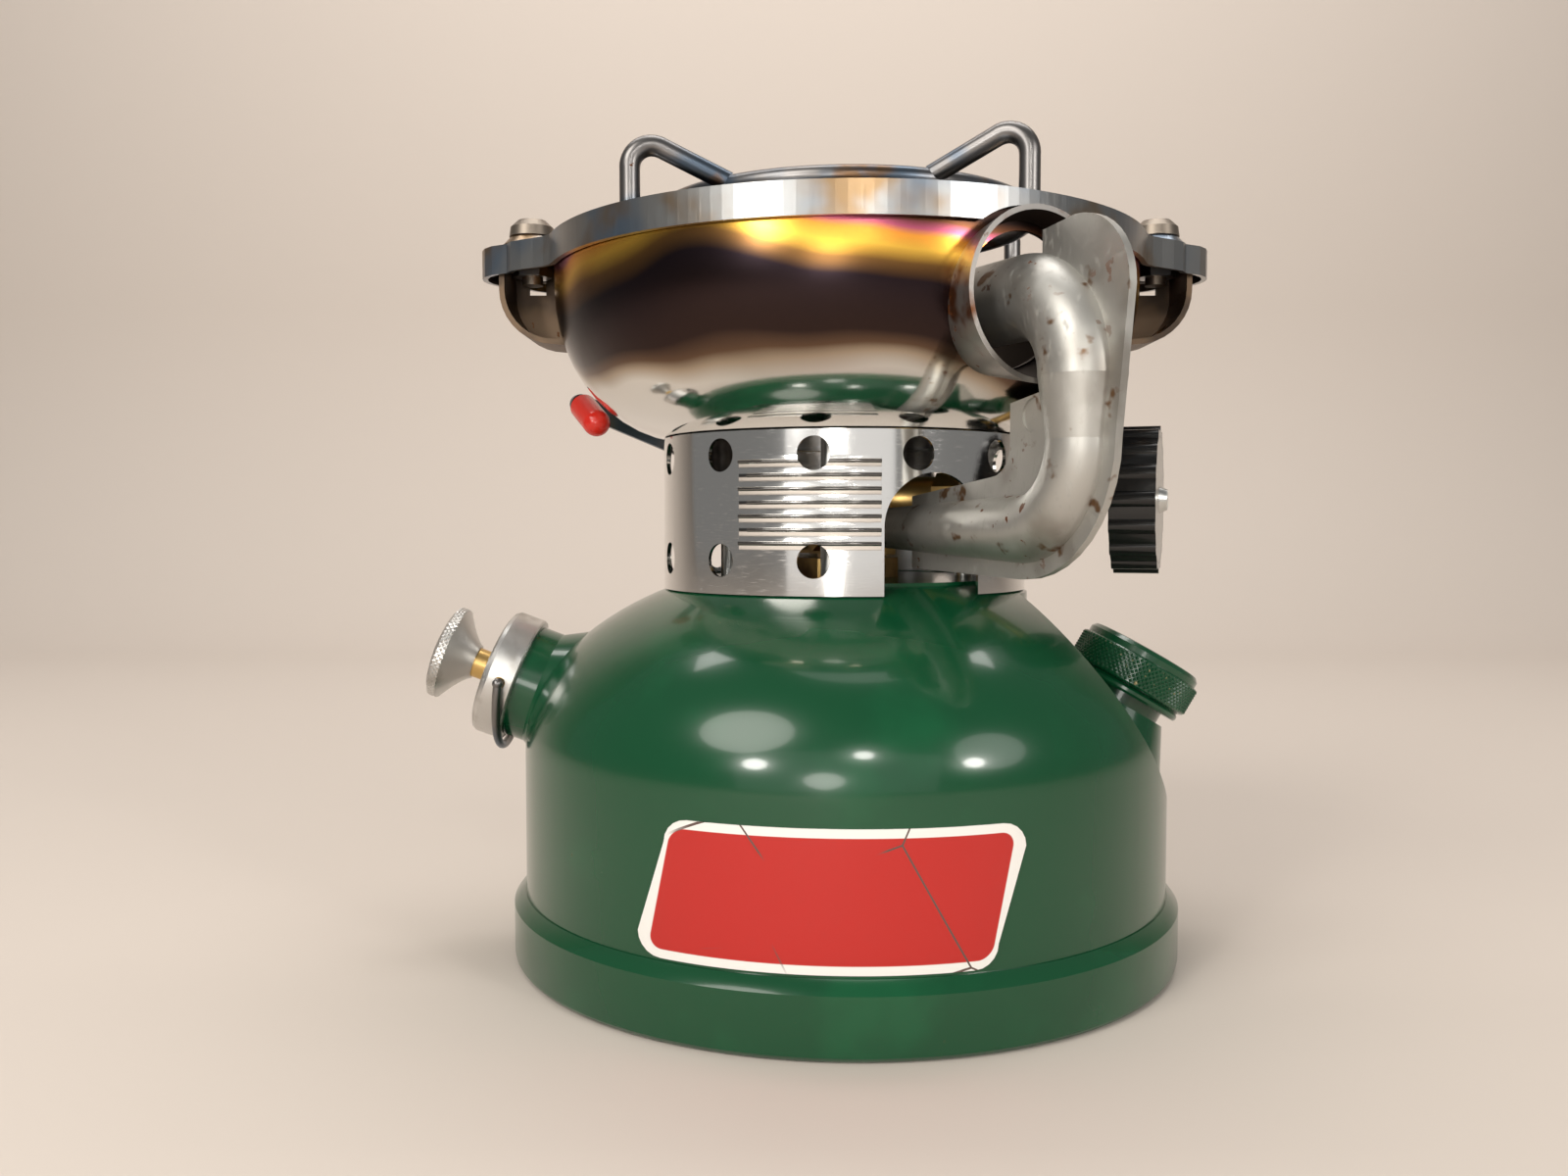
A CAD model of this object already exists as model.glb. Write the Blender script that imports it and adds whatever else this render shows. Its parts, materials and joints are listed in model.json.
"""Dresses the camping stove with its finishes and its knurls, and sets a plain stage."""

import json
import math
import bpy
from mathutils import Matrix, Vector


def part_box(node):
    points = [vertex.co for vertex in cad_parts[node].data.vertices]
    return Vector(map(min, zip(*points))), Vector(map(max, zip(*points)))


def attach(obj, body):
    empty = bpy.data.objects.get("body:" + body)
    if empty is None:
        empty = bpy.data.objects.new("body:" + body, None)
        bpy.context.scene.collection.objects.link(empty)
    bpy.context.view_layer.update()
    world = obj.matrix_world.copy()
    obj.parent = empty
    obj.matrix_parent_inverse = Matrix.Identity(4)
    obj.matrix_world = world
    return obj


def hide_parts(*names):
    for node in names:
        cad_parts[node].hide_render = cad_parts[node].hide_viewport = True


bl_info = {
    "name": "Camping Stove Finishes",
    "version": (1, 0, 0),
    "blender": (4, 5, 0),
    "location": "View3D > Sidebar > Stove",
    "description": "Finishes, knurls and a studio stage for a liquid-fuel camping stove",
    "category": "Add Mesh",
}

import bmesh
import bpy
from bpy.props import (
    FloatProperty,
    FloatVectorProperty,
    IntProperty,
    PointerProperty,
)
from mathutils import Matrix, Vector

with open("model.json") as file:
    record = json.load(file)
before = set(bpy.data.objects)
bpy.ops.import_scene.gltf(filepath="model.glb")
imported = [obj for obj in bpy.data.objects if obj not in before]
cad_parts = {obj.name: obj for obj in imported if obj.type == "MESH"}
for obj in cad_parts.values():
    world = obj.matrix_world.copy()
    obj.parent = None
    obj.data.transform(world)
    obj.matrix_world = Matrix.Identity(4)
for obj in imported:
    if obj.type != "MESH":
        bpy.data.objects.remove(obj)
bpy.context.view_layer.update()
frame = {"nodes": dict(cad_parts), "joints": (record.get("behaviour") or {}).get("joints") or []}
NODES = frame["nodes"]
JOINTS = {joint["name"]: joint for joint in frame["joints"]}
MM = 0.001


# ---------------------------------------------------------------- settings


def size(name, description, default, low=0.0):
    return FloatProperty(
        name=name,
        description=description,
        default=default,
        min=low,
        unit="LENGTH",
        precision=5,
    )


def colour(name, description, default):
    return FloatVectorProperty(
        name=name,
        description=description,
        default=default,
        subtype="COLOR",
        size=3,
        min=0.0,
        max=1.0,
    )


class StoveColours(bpy.types.PropertyGroup):
    """Colours of the painted, plated and moulded pieces."""

    enamel: colour("Enamel", "Gloss paint of the tank", (0.003, 0.058, 0.021))
    label_red: colour("Label red", "Field of the front label", (0.45, 0.011, 0.007))
    label_white: colour("Label white", "Border of the front label", (0.80, 0.78, 0.74))
    aluminium: colour("Aluminium", "Ribbed collar", (0.80, 0.79, 0.77))
    sheet_steel: colour("Sheet steel", "Manifold halves", (0.46, 0.45, 0.42))
    zinc: colour("Zinc", "Bezel and washers", (0.37, 0.37, 0.365))
    wire: colour("Wire", "Pot grate, cap clip and cleaner lever", (0.20, 0.19, 0.185))
    brass: colour("Brass", "Fuel fittings", (0.60, 0.40, 0.15))
    grip: colour("Grip", "Plastic grip of the cleaner lever", (0.62, 0.022, 0.012))
    rust: colour("Rust", "Rust specks and edges", (0.16, 0.055, 0.018))


class StoveSizes(bpy.types.PropertyGroup):
    """Sizes of the fine pieces and of the stage."""

    label_border: size("Label border", "Width of the white border", 1.7 * MM)
    cap_knurl_columns: IntProperty(
        name="Cap knurl columns",
        description="Diamonds round the filler cap",
        default=76,
        min=12,
        max=160,
    )
    cap_knurl_rows: IntProperty(
        name="Cap knurl rows",
        description="Rows of diamonds on the filler cap",
        default=9,
        min=1,
        max=16,
    )
    cap_knurl_height: size("Cap knurl height", "How far a diamond stands out", 0.28 * MM)
    knob_knurl_columns: IntProperty(
        name="Knob knurl columns",
        description="Diamonds round the rim of the pump knob",
        default=56,
        min=12,
        max=160,
    )
    knob_knurl_rows: IntProperty(
        name="Knob knurl rows",
        description="Rows of diamonds across the rim of the pump knob",
        default=3,
        min=1,
        max=6,
    )
    knob_knurl_height: size("Knob knurl height", "How far a diamond stands out", 0.2 * MM)
    floor_front: size("Floor front", "Distance of the floor's front edge", 1.6)
    backdrop_at: size("Backdrop", "Distance of the backdrop behind the stove", 0.95)
    backdrop_bend: size("Backdrop bend", "Radius between floor and backdrop", 0.3)


# ---------------------------------------------------------------- node helpers


def add_node(tree, kind, **facts):
    node = tree.nodes.new(kind)
    for name, value in facts.items():
        setattr(node, name, value)
    return node


def feed(tree, socket, value):
    """Links a socket to a socket, or sets it to a plain value."""
    if isinstance(value, bpy.types.NodeSocket):
        tree.links.new(value, socket)
    elif value is not None:
        socket.default_value = value


def calc(tree, operation, first, second=None, third=None):
    node = add_node(tree, "ShaderNodeMath", operation=operation)
    for socket, value in zip(node.inputs, (first, second, third)):
        feed(tree, socket, value)
    return node.outputs[0]


def remap(tree, value, from_low, from_high, to_low=0.0, to_high=1.0):
    node = add_node(tree, "ShaderNodeMapRange", interpolation_type="SMOOTHSTEP")
    for socket, number in zip(
        node.inputs, (value, from_low, from_high, to_low, to_high)
    ):
        feed(tree, socket, number)
    return node.outputs[0]


def noise(tree, vector, scale, detail=2.0, roughness=0.5):
    node = add_node(tree, "ShaderNodeTexNoise")
    feed(tree, node.inputs["Vector"], vector)
    feed(tree, node.inputs["Scale"], scale)
    feed(tree, node.inputs["Detail"], detail)
    feed(tree, node.inputs["Roughness"], roughness)
    return node.outputs["Fac"]


def mix_colour(tree, factor, first, second):
    node = add_node(tree, "ShaderNodeMix", data_type="RGBA")
    feed(tree, node.inputs[0], factor)
    for socket, value in ((node.inputs[6], first), (node.inputs[7], second)):
        if not isinstance(value, bpy.types.NodeSocket):
            value = (*value, 1.0)
        feed(tree, socket, value)
    return node.outputs[2]


def new_group(name, inputs, outputs):
    """An empty shader node group, with its input and output nodes."""
    group = bpy.data.node_groups.new(name, "ShaderNodeTree")
    for label, kind, default in inputs:
        socket = group.interface.new_socket(label, in_out="INPUT", socket_type=kind)
        if default is not None:
            socket.default_value = default
    for label in outputs:
        group.interface.new_socket(
            label, in_out="OUTPUT", socket_type="NodeSocketFloat"
        )
    return (
        group,
        group.nodes.new("NodeGroupInput").outputs,
        group.nodes.new("NodeGroupOutput").inputs,
    )


def rust_specks_group():
    """Small specks, gathered in loose clusters."""
    name = "Rust Specks"
    if name in bpy.data.node_groups:
        return bpy.data.node_groups[name]
    group, given, out = new_group(
        name,
        [
            ("Vector", "NodeSocketVector", None),
            ("Scale", "NodeSocketFloat", 500.0),
            ("Cover", "NodeSocketFloat", 0.3),
        ],
        ["Mask"],
    )
    fine = noise(group, given["Vector"], given["Scale"], 3.0)
    coarse = noise(
        group, given["Vector"], calc(group, "MULTIPLY", given["Scale"], 0.12), 2.0
    )
    start = calc(group, "SUBTRACT", 0.80, calc(group, "MULTIPLY", given["Cover"], 0.3))
    speck = remap(group, fine, start, calc(group, "ADD", start, 0.04))
    cluster = remap(group, coarse, 0.42, 0.62)
    group.links.new(calc(group, "MULTIPLY", speck, cluster), out["Mask"])
    return group


def fine_scratches_group():
    """Long thin marks along one direction, as a height and a mask."""
    name = "Fine Scratches"
    if name in bpy.data.node_groups:
        return bpy.data.node_groups[name]
    group, given, out = new_group(
        name,
        [
            ("Vector", "NodeSocketVector", None),
            ("Stretch", "NodeSocketVector", (1.0, 1.0, 0.1)),
            ("Scale", "NodeSocketFloat", 1500.0),
        ],
        ["Height", "Mask"],
    )
    pulled = add_node(group, "ShaderNodeVectorMath", operation="MULTIPLY")
    group.links.new(given["Vector"], pulled.inputs[0])
    group.links.new(given["Stretch"], pulled.inputs[1])
    marks = noise(group, pulled.outputs[0], given["Scale"], 2.0, 0.6)
    group.links.new(marks, out["Height"])
    group.links.new(remap(group, marks, 0.56, 0.72), out["Mask"])
    return group


class Finish:
    """A material, with the effects that are laid over it one after another."""

    def __init__(self, name, base, metallic=0.0, roughness=0.5, coat=0.0):
        self.material = bpy.data.materials.new(name)
        self.material.use_nodes = True
        self.tree = self.material.node_tree
        self.shader = self.tree.nodes["Principled BSDF"]
        self.shader.inputs["Base Color"].default_value = (*base, 1.0)
        self.shader.inputs["Metallic"].default_value = metallic
        self.shader.inputs["Roughness"].default_value = roughness
        self.shader.inputs["Coat Weight"].default_value = coat
        self.shader.inputs["Coat Roughness"].default_value = 0.04
        self.base = tuple(base)
        self.roughness = roughness
        self.where = add_node(self.tree, "ShaderNodeTexCoord").outputs["Object"]

    def paint(self, factor, over):
        """Lays a colour over what is there, where factor is 1."""
        self.base = mix_colour(self.tree, factor, self.base, over)
        self.tree.links.new(self.base, self.shader.inputs["Base Color"])
        return self

    def roughen(self, factor, upto):
        """Moves the roughness towards upto where factor is 1."""
        spread = add_node(self.tree, "ShaderNodeMix", data_type="FLOAT")
        feed(self.tree, spread.inputs[0], factor)
        feed(self.tree, spread.inputs[2], self.roughness)
        feed(self.tree, spread.inputs[3], upto)
        self.roughness = spread.outputs[0]
        self.tree.links.new(self.roughness, self.shader.inputs["Roughness"])
        return self

    def specks(self, tint, scale, cover, rough=0.75):
        group = add_node(self.tree, "ShaderNodeGroup", node_tree=rust_specks_group())
        self.tree.links.new(self.where, group.inputs["Vector"])
        group.inputs["Scale"].default_value = scale
        group.inputs["Cover"].default_value = cover
        mask = group.outputs["Mask"]
        self.paint(mask, tint)
        return self.roughen(mask, rough)

    def scratches(self, stretch, scale, depth, rough, strength=0.15):
        group = add_node(
            self.tree, "ShaderNodeGroup", node_tree=fine_scratches_group()
        )
        self.tree.links.new(self.where, group.inputs["Vector"])
        group.inputs["Stretch"].default_value = stretch
        group.inputs["Scale"].default_value = scale
        self.roughen(group.outputs["Mask"], rough)
        return self.emboss(group.outputs["Height"], depth, strength)

    def emboss(self, height, depth, strength):
        """Bends the normal by a height, over whatever bends it already."""
        normal = self.shader.inputs["Normal"]
        bump = add_node(self.tree, "ShaderNodeBump")
        bump.inputs["Strength"].default_value = strength
        bump.inputs["Distance"].default_value = depth
        self.tree.links.new(height, bump.inputs["Height"])
        if normal.is_linked:
            self.tree.links.new(normal.links[0].from_socket, bump.inputs["Normal"])
        self.tree.links.new(bump.outputs["Normal"], normal)
        return self

    def patches(self, tint, scale, low, high):
        """Large soft stains."""
        stain = remap(self.tree, noise(self.tree, self.where, scale, 3.0), low, high)
        return self.paint(stain, tint)

    def inward(self, point=(0.0, 0.0, 0.0), along=(0.0, 0.0, 1.0), limit=0.0):
        """1 where the surface faces an axis, 0 elsewhere; limit leaves end faces out."""

        def vector(operation, one, other):
            node = add_node(self.tree, "ShaderNodeVectorMath", operation=operation)
            for socket, value in zip(node.inputs, (one, other)):
                feed(self.tree, socket, value)
            return node.outputs

        local = vector("SUBTRACT", self.where, point)[0]
        out = vector("SUBTRACT", local, vector("PROJECT", local, along)[0])[0]
        normal = add_node(self.tree, "ShaderNodeNewGeometry").outputs["True Normal"]
        facing = vector("DOT_PRODUCT", out, normal)["Value"]
        return calc(self.tree, "LESS_THAN", facing, -limit)

    def axis(self, letter):
        split = add_node(self.tree, "ShaderNodeSeparateXYZ")
        self.tree.links.new(self.where, split.inputs[0])
        return split.outputs[letter]


def dress(finish, *names):
    """Puts one finish on the named pieces of the frame."""
    for name in names:
        slots = NODES[name].data.materials
        slots.clear()
        slots.append(finish.material)


# ---------------------------------------------------------------- shape helpers


def smooth_skin(name, body, sharp=22.0):
    """A merged copy of a frame piece, smooth except at its real edges, that stands for it."""
    source = NODES[name]
    mesh = source.data.copy()
    if "custom_normal" in mesh.attributes:
        mesh.attributes.remove(mesh.attributes["custom_normal"])
    work = bmesh.new()
    work.from_mesh(mesh)
    bmesh.ops.remove_doubles(work, verts=work.verts, dist=0.002 * MM)
    work.to_mesh(mesh)
    work.free()
    mesh.shade_smooth()
    mesh.set_sharp_from_angle(angle=math.radians(sharp))
    skin = bpy.data.objects.new(name + "_skin", mesh)
    bpy.context.scene.collection.objects.link(skin)
    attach(skin, body)
    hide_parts(name)
    return skin


def smooth_skins(body, *names):
    for name in names:
        smooth_skin(name, body)


def joint_place(name, spare=None):
    """The frame whose Z is a joint's axis, with its origin on the joint."""
    joint = JOINTS[name]
    along = Vector(joint["axis"]).normalized()
    origin = Vector(joint.get("pos_m") or spare)
    return Matrix.Translation(origin) @ along.to_track_quat("Z", "Y").to_matrix().to_4x4()


def geometry_tree(name, inputs):
    """A geometry node tree with named inputs and one geometry output."""
    tree = bpy.data.node_groups.new(name, "GeometryNodeTree")
    for label, kind in inputs:
        tree.interface.new_socket(label, in_out="INPUT", socket_type=kind)
    tree.interface.new_socket(
        "Geometry", in_out="OUTPUT", socket_type="NodeSocketGeometry"
    )
    return (
        tree,
        tree.nodes.new("NodeGroupInput").outputs,
        tree.nodes.new("NodeGroupOutput").inputs,
    )


def close_tree(tree, given, out, geometry):
    """Realize Instances and Set Material, which end every tree."""
    real = add_node(tree, "GeometryNodeRealizeInstances")
    painted = add_node(tree, "GeometryNodeSetMaterial")
    tree.links.new(geometry, real.inputs["Geometry"])
    tree.links.new(real.outputs["Geometry"], painted.inputs["Geometry"])
    tree.links.new(given["Material"], painted.inputs["Material"])
    tree.links.new(painted.outputs["Geometry"], out["Geometry"])


def knurl_tree():
    """Rows of four-sided studs round a cylinder, each row half a step on from the last."""
    name = "Knurl Ring"
    if name in bpy.data.node_groups:
        return bpy.data.node_groups[name]
    tree, given, out = geometry_tree(
        name,
        [
            ("Columns", "NodeSocketInt"),
            ("Rows", "NodeSocketInt"),
            ("Radius", "NodeSocketFloat"),
            ("First Row", "NodeSocketFloat"),
            ("Row Step", "NodeSocketFloat"),
            ("Stud Size", "NodeSocketVector"),
            ("Material", "NodeSocketMaterial"),
        ],
    )
    index = add_node(tree, "GeometryNodeInputIndex").outputs[0]
    column = calc(tree, "FLOOR", calc(tree, "DIVIDE", index, given["Rows"]))
    row = calc(tree, "MODULO", index, given["Rows"])
    half = calc(tree, "MULTIPLY", calc(tree, "MODULO", row, 2.0), 0.5)
    step = calc(tree, "DIVIDE", math.tau, given["Columns"])
    angle = calc(tree, "MULTIPLY", calc(tree, "ADD", column, half), step)
    spot = add_node(tree, "ShaderNodeCombineXYZ")
    for letter, trig in (("X", "COSINE"), ("Y", "SINE")):
        across = calc(tree, "MULTIPLY", calc(tree, trig, angle), given["Radius"])
        tree.links.new(across, spot.inputs[letter])
    rise = calc(tree, "MULTIPLY_ADD", row, given["Row Step"], given["First Row"])
    tree.links.new(rise, spot.inputs["Z"])
    points = add_node(tree, "GeometryNodePoints")
    tree.links.new(
        calc(tree, "MULTIPLY", given["Columns"], given["Rows"]), points.inputs["Count"]
    )
    tree.links.new(spot.outputs[0], points.inputs["Position"])
    stud = add_node(tree, "GeometryNodeMeshCone")
    stud.inputs["Vertices"].default_value = 4
    stud.inputs["Radius Top"].default_value = 0.0
    stud.inputs["Radius Bottom"].default_value = 1.0
    stud.inputs["Depth"].default_value = 1.0
    turn = add_node(tree, "ShaderNodeCombineXYZ")
    turn.inputs["Y"].default_value = math.pi / 2
    tree.links.new(angle, turn.inputs["Z"])
    facing = add_node(tree, "FunctionNodeEulerToRotation")
    tree.links.new(turn.outputs[0], facing.inputs[0])
    placed = add_node(tree, "GeometryNodeInstanceOnPoints")
    tree.links.new(points.outputs[0], placed.inputs["Points"])
    tree.links.new(stud.outputs["Mesh"], placed.inputs["Instance"])
    tree.links.new(facing.outputs[0], placed.inputs["Rotation"])
    tree.links.new(given["Stud Size"], placed.inputs["Scale"])
    close_tree(tree, given, out, placed.outputs["Instances"])
    return tree


def grow(name, tree, values, place, body):
    """Runs a geometry tree and leaves a plain mesh that rides on a body."""
    seed = bpy.data.objects.new(name + "_seed", bpy.data.meshes.new(name + "_seed"))
    bpy.context.scene.collection.objects.link(seed)
    modifier = seed.modifiers.new(name, "NODES")
    modifier.node_group = tree
    sockets = {
        item.name: item.identifier
        for item in tree.interface.items_tree
        if item.item_type == "SOCKET" and item.in_out == "INPUT"
    }
    for label, value in values.items():
        modifier[sockets[label]] = value
    bpy.context.view_layer.update()
    live = seed.evaluated_get(bpy.context.evaluated_depsgraph_get())
    mesh = bpy.data.meshes.new_from_object(live)
    if not mesh.polygons:
        raise RuntimeError(f"{name} came out empty")
    mesh.name = name
    mesh.transform(place)
    bpy.data.objects.remove(seed)
    piece = bpy.data.objects.new(name, mesh)
    bpy.context.scene.collection.objects.link(piece)
    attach(piece, body)
    return piece


# ---------------------------------------------------------------- the pieces


class StovePiece:
    """What every operator of this add-on shares."""

    bl_options = {"REGISTER", "UNDO"}

    @property
    def colours(self):
        return bpy.context.scene.stove_colours

    @property
    def sizes(self):
        return bpy.context.scene.stove_sizes


def enamel(colours):
    """Gloss green with soft mottling and rust chips."""
    paint = Finish("Green Enamel", tuple(colours.enamel), roughness=0.22, coat=0.45)
    paint.shader.inputs["Coat Roughness"].default_value = 0.08
    paint.shader.inputs["Specular IOR Level"].default_value = 0.35
    paint.patches(tuple(c * 1.35 for c in colours.enamel), 45.0, 0.50, 0.75)
    paint.specks(tuple(colours.rust), 380.0, 0.12)
    return paint


class STOVE_OT_tank(StovePiece, bpy.types.Operator):
    """Enamels the tank, its pan, the filler neck, the pump boss and the filler cap"""

    bl_idname = "stove.tank"
    bl_label = "Tank enamel"

    def execute(self, context):
        paint = enamel(self.colours)
        dress(
            paint,
            "tank_shell",
            "tank_bottom_pan",
            "filler_neck",
            "pump_boss",
            "filler_cap",
        )
        smooth_skins(
            "tank_body", "tank_shell", "tank_bottom_pan", "filler_neck", "pump_boss"
        )
        return {"FINISHED"}


class STOVE_OT_label(StovePiece, bpy.types.Operator):
    """Finishes the plain red front label and its white border"""

    bl_idname = "stove.label"
    bl_label = "Front label"

    # the label's own outline, in metres
    middle_x = -5.4 * MM
    half_width = 33.7 * MM
    lean = 5.3 * MM
    low = 15.6 * MM
    high = 42.4 * MM
    corner = 4.5 * MM

    # hairline cracks, in cells to a metre and shares of a cell
    crack_scale = 36.0
    crack_width = 0.006

    def execute(self, context):
        field = Finish("Label", tuple(self.colours.label_red), roughness=0.26, coat=0.25)
        tree = field.tree
        half_high = (self.high - self.low) / 2
        height = calc(tree, "SUBTRACT", field.axis("Z"), (self.high + self.low) / 2)
        slide = calc(tree, "MULTIPLY", height, self.lean / (2 * half_high))
        across = calc(
            tree, "SUBTRACT", calc(tree, "SUBTRACT", field.axis("X"), self.middle_x), slide
        )
        reach = []
        for value, half in ((across, self.half_width), (height, half_high)):
            away = calc(tree, "ABSOLUTE", value)
            reach.append(calc(tree, "SUBTRACT", away, half - self.corner))
        outside = [calc(tree, "MAXIMUM", r, 0.0) for r in reach]
        corner = calc(
            tree,
            "SQRT",
            calc(tree, "ADD", *[calc(tree, "MULTIPLY", r, r) for r in outside]),
        )
        inside = calc(tree, "MINIMUM", calc(tree, "MAXIMUM", *reach), 0.0)
        edge = calc(
            tree, "SUBTRACT", calc(tree, "ADD", corner, inside), self.corner
        )
        border = self.sizes.label_border
        mask = remap(tree, edge, -border - 0.1 * MM, -border + 0.1 * MM)
        field.paint(mask, tuple(self.colours.label_white))
        cells = add_node(tree, "ShaderNodeTexVoronoi", feature="DISTANCE_TO_EDGE")
        tree.links.new(field.where, cells.inputs["Vector"])
        cells.inputs["Scale"].default_value = self.crack_scale
        line = calc(tree, "LESS_THAN", cells.outputs["Distance"], self.crack_width)
        broken = remap(tree, noise(tree, field.where, 40.0), 0.50, 0.56)
        field.paint(calc(tree, "MULTIPLY", line, broken), (0.10, 0.06, 0.05))
        dress(field, "front_label")
        return {"FINISHED"}


class STOVE_OT_bowl(StovePiece, bpy.types.Operator):
    """Finishes the chromed bowl, with its heat colours under the rim"""

    bl_idname = "stove.bowl"
    bl_label = "Burner bowl"

    # how the tints wander up and down, and how they climb towards the left
    wander_scale = 20.0
    wander_reach = 0.60
    slant = 1.4

    # height up the bowl, from its floor to its lip, and the tint there
    tints = (
        (0.00, (0.80, 0.80, 0.78)),
        (0.18, (0.76, 0.74, 0.70)),
        (0.24, (0.44, 0.36, 0.27)),
        (0.28, (0.14, 0.085, 0.055)),
        (0.34, (0.040, 0.025, 0.022)),
        (0.62, (0.026, 0.018, 0.022)),
        (0.71, (0.20, 0.100, 0.032)),
        (0.79, (0.84, 0.48, 0.07)),
        (0.86, (0.88, 0.34, 0.05)),
        (0.90, (0.46, 0.10, 0.17)),
        (0.95, (0.10, 0.04, 0.02)),
        (1.00, (0.02, 0.012, 0.010)),
    )

    def execute(self, context):
        low, high = (corner[2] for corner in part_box("bowl"))
        chrome = Finish("Heat-tinted Chrome", (0.80, 0.80, 0.78), 1.0, 0.09)
        tree = chrome.tree
        height = add_node(tree, "ShaderNodeMapRange")
        for socket, value in zip(height.inputs, (chrome.axis("Z"), low, high, 0.0, 1.0)):
            feed(tree, socket, value)
        wander = calc(
            tree,
            "MULTIPLY_ADD",
            noise(tree, chrome.where, self.wander_scale, 1.5),
            self.wander_reach,
            -self.wander_reach / 2,
        )
        wander = calc(tree, "MULTIPLY_ADD", chrome.axis("X"), self.slant, wander)
        ramp = add_node(tree, "ShaderNodeValToRGB")
        stops = ramp.color_ramp.elements
        stops[0].position, stops[1].position = 0.0, 1.0
        stops[0].color = (*self.tints[0][1], 1.0)
        stops[1].color = (*self.tints[-1][1], 1.0)
        for position, tint in self.tints[1:-1]:
            stops.new(position).color = (*tint, 1.0)
        tree.links.new(
            calc(tree, "ADD", height.outputs[0], wander), ramp.inputs["Fac"]
        )
        chrome.base = ramp.outputs["Color"]
        sooty = remap(tree, calc(tree, "ADD", height.outputs[0], wander), 0.25, 0.60)
        chrome.roughen(sooty, 0.27)
        inside = chrome.inward()
        chrome.paint(inside, (0.035, 0.027, 0.022))
        chrome.roughen(inside, 0.5)
        chrome.specks(tuple(self.colours.rust), 420.0, 0.12, rough=0.6)
        dress(chrome, "bowl")
        smooth_skins("tank_body", "bowl")
        return {"FINISHED"}


class STOVE_OT_collar(StovePiece, bpy.types.Operator):
    """Finishes the ribbed aluminium collar and the tie rods inside it"""

    bl_idname = "stove.collar"
    bl_label = "Collar"

    # the ribbed panel: azimuth of its middle, half its spread, and its rows
    rib_middle = math.radians(-13.0)
    rib_half = math.radians(21.0)
    rib_low = 93.2 * MM
    rib_pitch = 2.8 * MM
    rib_count = 7
    rib_relief = 0.22 * MM

    # how near a rib's crest the darker tint starts and is full, and the tint
    crest_band = (0.78, 0.92)
    crest_tint = (0.16, 0.155, 0.15)

    def execute(self, context):
        metal = Finish("Bright Aluminium", tuple(self.colours.aluminium), 1.0, 0.12)
        metal.scratches((0.15, 0.15, 1.0), 2600.0, 0.02 * MM, 0.22, 0.08)
        tree = metal.tree
        forward = calc(tree, "MULTIPLY", metal.axis("Y"), -1.0)
        turn = calc(tree, "ARCTAN2", metal.axis("X"), forward)
        aside = calc(tree, "ABSOLUTE", calc(tree, "SUBTRACT", turn, self.rib_middle))
        rise = calc(tree, "SUBTRACT", metal.axis("Z"), self.rib_low)
        above = calc(tree, "GREATER_THAN", rise, -self.rib_pitch / 2)
        below = calc(tree, "LESS_THAN", rise, self.rib_pitch * (self.rib_count - 0.5))
        panel = calc(
            tree,
            "MULTIPLY",
            calc(tree, "LESS_THAN", aside, self.rib_half),
            calc(tree, "MULTIPLY", above, below),
        )
        phase = calc(tree, "MULTIPLY", rise, math.tau / self.rib_pitch)
        crest = calc(tree, "MULTIPLY_ADD", calc(tree, "COSINE", phase), 0.5, 0.5)
        metal.emboss(calc(tree, "MULTIPLY", crest, panel), self.rib_relief, 0.5)
        on_rib = calc(tree, "MULTIPLY", remap(tree, crest, *self.crest_band), panel)
        metal.paint(on_rib, self.crest_tint)
        dress(metal, "collar")
        plain = Finish("Trim Steel", (0.58, 0.58, 0.56), 1.0, 0.32)
        plain.scratches((1.0, 1.0, 0.2), 1800.0, 0.02 * MM, 0.5)
        dress(
            plain,
            "tie_rods",
            "tie_nuts",
            "knob_screw",
            "cleaning_needle",
            "cup_nut",
            "cap_insert",
            "cap_screw",
        )
        return {"FINISHED"}


class STOVE_OT_manifold(StovePiece, bpy.types.Operator):
    """Finishes the pressed manifold halves and the port sleeve"""

    bl_idname = "stove.manifold"
    bl_label = "Manifold"

    azimuth = 28.0
    upper_leg = 139.5 * MM

    def execute(self, context):
        sheet = Finish("Aluminised Sheet", tuple(self.colours.sheet_steel), 0.85, 0.42)
        sheet.patches((0.30, 0.28, 0.25), 60.0, 0.52, 0.72)
        sheet.patches((0.17, 0.095, 0.050), 150.0, 0.63, 0.70)
        sheet.specks(tuple(self.colours.rust), 330.0, 0.56)
        sheet.scratches((1.0, 1.0, 0.4), 900.0, 0.04 * MM, 0.6)
        dress(sheet, "manifold_front_half", "manifold_rear_half")
        sleeve = Finish("Sleeve Sheet", (0.36, 0.34, 0.32), 0.9, 0.36)
        sleeve.patches(tuple(self.colours.rust), 90.0, 0.56, 0.68)
        sleeve.specks(tuple(self.colours.rust), 380.0, 0.5)
        turn = math.radians(self.azimuth)
        inside = sleeve.inward(
            (0.0, 0.0, self.upper_leg), (math.sin(turn), -math.cos(turn), 0.0), 5.0 * MM
        )
        sleeve.paint(inside, (0.030, 0.022, 0.018))
        sleeve.roughen(inside, 0.6)
        dress(sleeve, "port_sleeve")
        smooth_skins("tank_body", "manifold_front_half", "manifold_rear_half")
        return {"FINISHED"}


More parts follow.
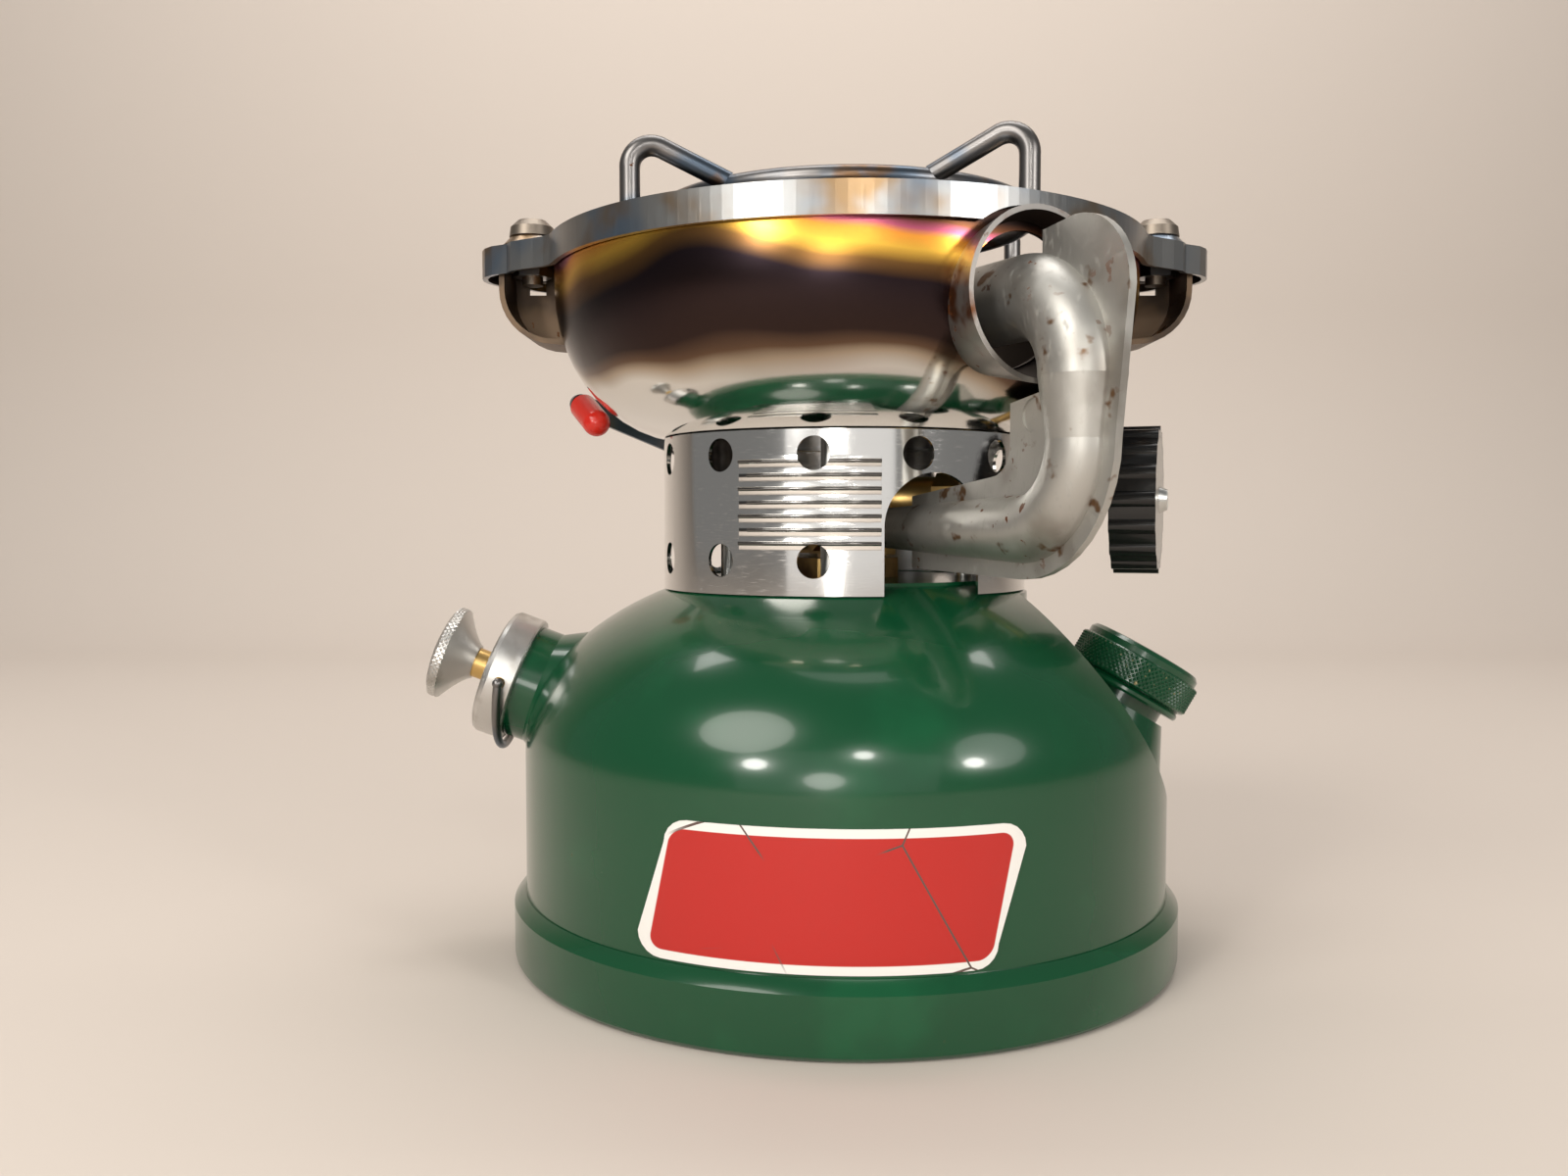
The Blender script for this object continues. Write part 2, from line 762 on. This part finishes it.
class STOVE_OT_bezel(StovePiece, bpy.types.Operator):
    """Finishes the bezel ring, its washers, screws and brackets"""

    bl_idname = "stove.bezel"
    bl_label = "Bezel and ears"

    def execute(self, context):
        zinc = Finish("Zinc Plate", tuple(self.colours.zinc), 1.0, 0.30)
        zinc.patches((0.20, 0.26, 0.34), 38.0, 0.46, 0.66)
        zinc.patches((0.30, 0.20, 0.11), 52.0, 0.52, 0.70)
        zinc.scratches((1.0, 1.0, 0.06), 2200.0, 0.02 * MM, 0.36, 0.12)
        dress(zinc, "bezel_ring", "ear_washers", "ear_nuts")
        tarnish = Finish("Tarnished Steel", (0.13, 0.09, 0.06), 1.0, 0.48)
        tarnish.patches((0.06, 0.045, 0.035), 70.0, 0.44, 0.64)
        tarnish.specks(tuple(self.colours.rust), 500.0, 0.4)
        dress(tarnish, "ear_bracket_left", "ear_bracket_right")
        screw = Finish("Browned Screw", (0.26, 0.22, 0.18), 1.0, 0.42)
        screw.specks(tuple(self.colours.rust), 800.0, 0.4)
        dress(screw, "ear_screws")
        return {"FINISHED"}


class STOVE_OT_grate(StovePiece, bpy.types.Operator):
    """Finishes the wire pot grate, the clip and the cleaner lever"""

    bl_idname = "stove.grate"
    bl_label = "Pot grate"

    def execute(self, context):
        wire = Finish("Heat-blued Wire", tuple(self.colours.wire), 1.0, 0.33)
        wire.patches((0.10, 0.13, 0.17), 45.0, 0.46, 0.60)
        wire.patches((0.17, 0.10, 0.055), 80.0, 0.56, 0.70)
        wire.specks(tuple(self.colours.rust), 700.0, 0.25)
        dress(wire, "pot_grate", "pump_cap_clip", "cleaner_lever")
        return {"FINISHED"}


class STOVE_OT_burner(StovePiece, bpy.types.Operator):
    """Finishes the burner, the generator and the brass fittings"""

    bl_idname = "stove.burner"
    bl_label = "Burner"

    def execute(self, context):
        steel = Finish("Burnt Steel", (0.16, 0.14, 0.125), 0.9, 0.48)
        steel.patches((0.05, 0.045, 0.042), 90.0, 0.46, 0.62)
        steel.specks(tuple(self.colours.rust), 600.0, 0.4)
        dress(steel, "burner_rings", "burner_cap", "generator_tube")
        brass = Finish("Dull Brass", tuple(self.colours.brass), 1.0, 0.34)
        brass.patches((0.20, 0.11, 0.045), 70.0, 0.50, 0.68)
        dress(
            brass,
            "burner_base",
            "burner_screw",
            "pump_tube",
            "check_valve",
            "fuel_pickup_tube",
            "valve_body",
            "valve_packing_nut",
            "generator_nuts",
            "jet_nozzle",
            "cleaner_packing_nut",
            "valve_stem",
            "air_stem",
            "plunger_tube",
        )
        return {"FINISHED"}


class STOVE_OT_valve_knob(StovePiece, bpy.types.Operator):
    """Finishes the fuel valve knob and its pale disc"""

    bl_idname = "stove.valve_knob"
    bl_label = "Valve knob"

    def execute(self, context):
        dress(Finish("Black Plastic", (0.008, 0.008, 0.008), 0.0, 0.14), "valve_knob")
        disc = Finish("Pale Disc", (0.62, 0.62, 0.60), 1.0, 0.28)
        disc.scratches((1.0, 1.0, 1.0), 1600.0, 0.02 * MM, 0.45)
        dress(disc, "knob_trim_disc")
        return {"FINISHED"}


class STOVE_OT_cleaner(StovePiece, bpy.types.Operator):
    """Finishes the red grip of the cleaner lever"""

    bl_idname = "stove.cleaner"
    bl_label = "Cleaner grip"

    def execute(self, context):
        grip = Finish("Red Plastic", tuple(self.colours.grip), 0.0, 0.22)
        dress(grip, "cleaner_grip")
        return {"FINISHED"}


class STOVE_OT_pump(StovePiece, bpy.types.Operator):
    """Finishes the pump cap, and turns the pump knob with its diamond-knurled rim"""

    bl_idname = "stove.pump"
    bl_label = "Hand pump"

    # radius and height of the turned knob along the pump's axis
    outline = (
        (0.0, 8.0), (4.0, 8.0), (4.7, 9.0), (6.2, 10.4), (8.0, 11.8), (9.5, 12.8),
        (10.7, 13.7), (10.7, 15.5), (9.6, 16.2), (6.5, 17.0), (0.0, 17.2),
    )
    rim_radius = 10.7 * MM
    rim_low = 13.98 * MM
    rim_high = 15.22 * MM

    def turned(self, place, metal):
        """The knob as one closed lathe shape that stands for the frame's knob."""
        work = bmesh.new()
        line = [work.verts.new((r * MM, 0.0, t * MM)) for r, t in self.outline]
        for a, b in zip(line, line[1:]):
            work.edges.new((a, b))
        bmesh.ops.spin(
            work,
            geom=work.verts[:] + work.edges[:],
            axis=(0.0, 0.0, 1.0),
            cent=(0.0, 0.0, 0.0),
            angle=math.tau,
            steps=72,
        )
        bmesh.ops.remove_doubles(work, verts=work.verts, dist=0.001 * MM)
        bmesh.ops.recalc_face_normals(work, faces=work.faces)
        mesh = bpy.data.meshes.new("pump_knob_turned")
        work.to_mesh(mesh)
        work.free()
        mesh.transform(place)
        mesh.shade_smooth()
        mesh.set_sharp_from_angle(angle=math.radians(24.0))
        mesh.materials.append(metal.material)
        knob = bpy.data.objects.new("pump_knob_turned", mesh)
        bpy.context.scene.collection.objects.link(knob)
        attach(knob, "pump_plunger")
        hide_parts("pump_knob")

    def execute(self, context):
        metal = Finish("Satin Aluminium", (0.62, 0.61, 0.59), 1.0, 0.34)
        metal.patches((0.42, 0.40, 0.37), 110.0, 0.50, 0.70)
        metal.scratches((1.0, 1.0, 1.0), 1500.0, 0.03 * MM, 0.52)
        dress(metal, "pump_cap", "pump_knob")
        dress(Finish("Oiled Leather", (0.10, 0.045, 0.02), 0.0, 0.7), "pump_cup")
        place = joint_place("stem_turn")
        self.turned(place, metal)
        columns = self.sizes.knob_knurl_columns
        rows = self.sizes.knob_knurl_rows
        step = (self.rim_high - self.rim_low) / max(1, rows - 1)
        sink = 0.05 * MM
        grow(
            "pump_knob_knurl",
            knurl_tree(),
            {
                "Columns": columns,
                "Rows": rows,
                "Radius": self.rim_radius - sink,
                "First Row": self.rim_low,
                "Row Step": step,
                "Stud Size": (
                    step * 0.9,
                    math.pi * self.rim_radius / columns,
                    self.sizes.knob_knurl_height + sink,
                ),
                "Material": metal.material,
            },
            place,
            "pump_plunger",
        )
        return {"FINISHED"}


class STOVE_OT_filler(StovePiece, bpy.types.Operator):
    """Knurls the filler cap and finishes its gasket"""

    bl_idname = "stove.filler"
    bl_label = "Filler cap"

    # along the filler's axis
    grip_radius = 14.7 * MM
    grip_low = 3.0 * MM
    grip_high = 8.2 * MM

    def execute(self, context):
        worn = Finish("Worn Enamel", tuple(self.colours.enamel), 0.0, 0.28, 0.4)
        worn.specks((0.42, 0.34, 0.18), 900.0, 0.55, rough=0.35)
        columns = self.sizes.cap_knurl_columns
        rows = self.sizes.cap_knurl_rows
        step = (self.grip_high - self.grip_low) / max(1, rows - 1)
        sink = 0.05 * MM
        place = joint_place("cap_turn")
        grow(
            "filler_cap_knurl",
            knurl_tree(),
            {
                "Columns": columns,
                "Rows": rows,
                "Radius": self.grip_radius - sink,
                "First Row": self.grip_low,
                "Row Step": step,
                "Stud Size": (
                    step * 0.95,
                    math.pi * self.grip_radius / columns * 0.95,
                    self.sizes.cap_knurl_height + sink,
                ),
                "Material": worn.material,
            },
            place,
            "filler_knob",
        )
        dress(Finish("Black Rubber", (0.02, 0.02, 0.02), 0.0, 0.7), "cap_gasket")
        return {"FINISHED"}


class STOVE_OT_stage(StovePiece, bpy.types.Operator):
    """Sets the pale floor and backdrop, the soft lights and the camera"""

    bl_idname = "stove.stage"
    bl_label = "Stage"

    width = 5.0
    wall_top = 1.8
    bend_steps = 16

    # camera in the stove's frame
    camera_at = (-0.0139, -0.309, 0.0977)
    camera_tilt = math.radians(90 - 2.87)
    camera_lens = 30.375

    # what the lamps point at: the stove, or for the wall lamp the backdrop
    stove_middle = (0.0, 0.0, 0.09)
    wall_middle = (0.0, 0.95, 0.25)

    # name, shape, place, width, height, power in watts, colour
    lights = (
        ("key", "DISK", (-0.60, -0.70, 0.80), 0.62, 0.62, 6.0, (1.0, 0.96, 0.90)),
        ("fill", "DISK", (0.80, -0.70, 0.50), 0.50, 0.50, 1.8, (1.0, 0.97, 0.94)),
        ("top", "DISK", (0.05, 0.05, 1.10), 0.60, 0.60, 1.5, (1.0, 0.98, 0.95)),
        ("left_lamp", "DISK", (-0.36, -0.60, 0.26), 0.10, 0.10, 0.9, (1.0, 0.97, 0.92)),
        ("right_lamp", "DISK", (0.51, -0.60, 0.28), 0.10, 0.10, 0.9, (1.0, 0.97, 0.92)),
        ("mid_lamp", "DISK", (0.045, -0.60, 0.34), 0.07, 0.07, 0.4, (1.0, 0.97, 0.92)),
        ("low_lamp", "DISK", (-0.09, -0.62, 0.12), 0.14, 0.14, 0.4, (1.0, 0.97, 0.92)),
        ("wall", "RECTANGLE", (0.00, 0.30, 1.20), 1.40, 0.30, 9.0, (1.0, 0.97, 0.94)),
        ("card", "RECTANGLE", (-0.10, -1.20, 0.35), 1.60, 0.70, 2.2, (1.0, 0.97, 0.94)),
    )

    def sweep(self):
        """A sheet that lies flat in front and bends up behind."""
        bend = self.sizes.backdrop_bend
        wall = self.sizes.backdrop_at
        line = [(-self.sizes.floor_front, 0.0)]
        for i in range(self.bend_steps + 1):
            angle = math.pi / 2 * i / self.bend_steps
            line.append(
                (wall - bend + bend * math.sin(angle), bend - bend * math.cos(angle))
            )
        line.append((wall, self.wall_top))
        points = [
            (x, y, z) for y, z in line for x in (-self.width / 2, self.width / 2)
        ]
        faces = [
            (2 * i, 2 * i + 1, 2 * i + 3, 2 * i + 2) for i in range(len(line) - 1)
        ]
        mesh = bpy.data.meshes.new("sweep")
        mesh.from_pydata(points, [], faces)
        mesh.shade_smooth()
        cloth = Finish("Pale Backdrop", (0.64, 0.57, 0.51), 0.0, 0.9)
        mesh.materials.append(cloth.material)
        sheet = bpy.data.objects.new("sweep", mesh)
        bpy.context.scene.collection.objects.link(sheet)

    def light(self, name, shape, place, width, height, power, tint):
        lamp = bpy.data.lights.new(name, "AREA")
        lamp.shape = shape
        lamp.size = width
        if shape == "RECTANGLE":
            lamp.size_y = height
        lamp.energy = power
        lamp.color = tint
        source = bpy.data.objects.new(name, lamp)
        source.location = place
        aim = Vector(self.wall_middle if name == "wall" else self.stove_middle)
        aim -= Vector(place)
        source.rotation_euler = aim.to_track_quat("-Z", "Y").to_euler()
        bpy.context.scene.collection.objects.link(source)

    def camera(self):
        lens = bpy.data.cameras.new("view")
        lens.lens = self.camera_lens
        lens.sensor_width = 36.0
        lens.clip_start = 0.01
        eye = bpy.data.objects.new("view", lens)
        eye.location = self.camera_at
        eye.rotation_euler = (self.camera_tilt, 0.0, 0.0)
        bpy.context.scene.collection.objects.link(eye)
        bpy.context.scene.camera = eye

    def execute(self, context):
        self.sweep()
        for settings in self.lights:
            self.light(*settings)
        self.camera()
        world = bpy.data.worlds.new("studio")
        world.use_nodes = True
        sky = world.node_tree.nodes["Background"]
        sky.inputs["Color"].default_value = (0.80, 0.79, 0.77, 1.0)
        sky.inputs["Strength"].default_value = 0.25
        bpy.context.scene.world = world
        bpy.context.scene.view_settings.view_transform = "Standard"
        return {"FINISHED"}


# ---------------------------------------------------------------- add-on


OPERATORS = (
    STOVE_OT_tank,
    STOVE_OT_label,
    STOVE_OT_bowl,
    STOVE_OT_collar,
    STOVE_OT_manifold,
    STOVE_OT_bezel,
    STOVE_OT_grate,
    STOVE_OT_burner,
    STOVE_OT_valve_knob,
    STOVE_OT_cleaner,
    STOVE_OT_pump,
    STOVE_OT_filler,
    STOVE_OT_stage,
)


class STOVE_PT_panel(bpy.types.Panel):
    """Lists the stove's pieces and settings"""

    bl_label = "Camping stove"
    bl_space_type = "VIEW_3D"
    bl_region_type = "UI"
    bl_category = "Stove"

    def draw(self, context):
        column = self.layout.column()
        for operator in OPERATORS:
            column.operator(operator.bl_idname)
        for group in (context.scene.stove_colours, context.scene.stove_sizes):
            box = self.layout.box()
            for name in group.__annotations__:
                box.prop(group, name)


CLASSES = (StoveColours, StoveSizes, *OPERATORS, STOVE_PT_panel)


def register():
    for cls in CLASSES:
        bpy.utils.register_class(cls)
    bpy.types.Scene.stove_colours = PointerProperty(type=StoveColours)
    bpy.types.Scene.stove_sizes = PointerProperty(type=StoveSizes)


def unregister():
    del bpy.types.Scene.stove_sizes
    del bpy.types.Scene.stove_colours
    for cls in reversed(CLASSES):
        bpy.utils.unregister_class(cls)


def main():
    register()
    for operator in OPERATORS:
        family, action = operator.bl_idname.split(".")
        getattr(getattr(bpy.ops, family), action)()


if __name__ == "__main__":
    main()
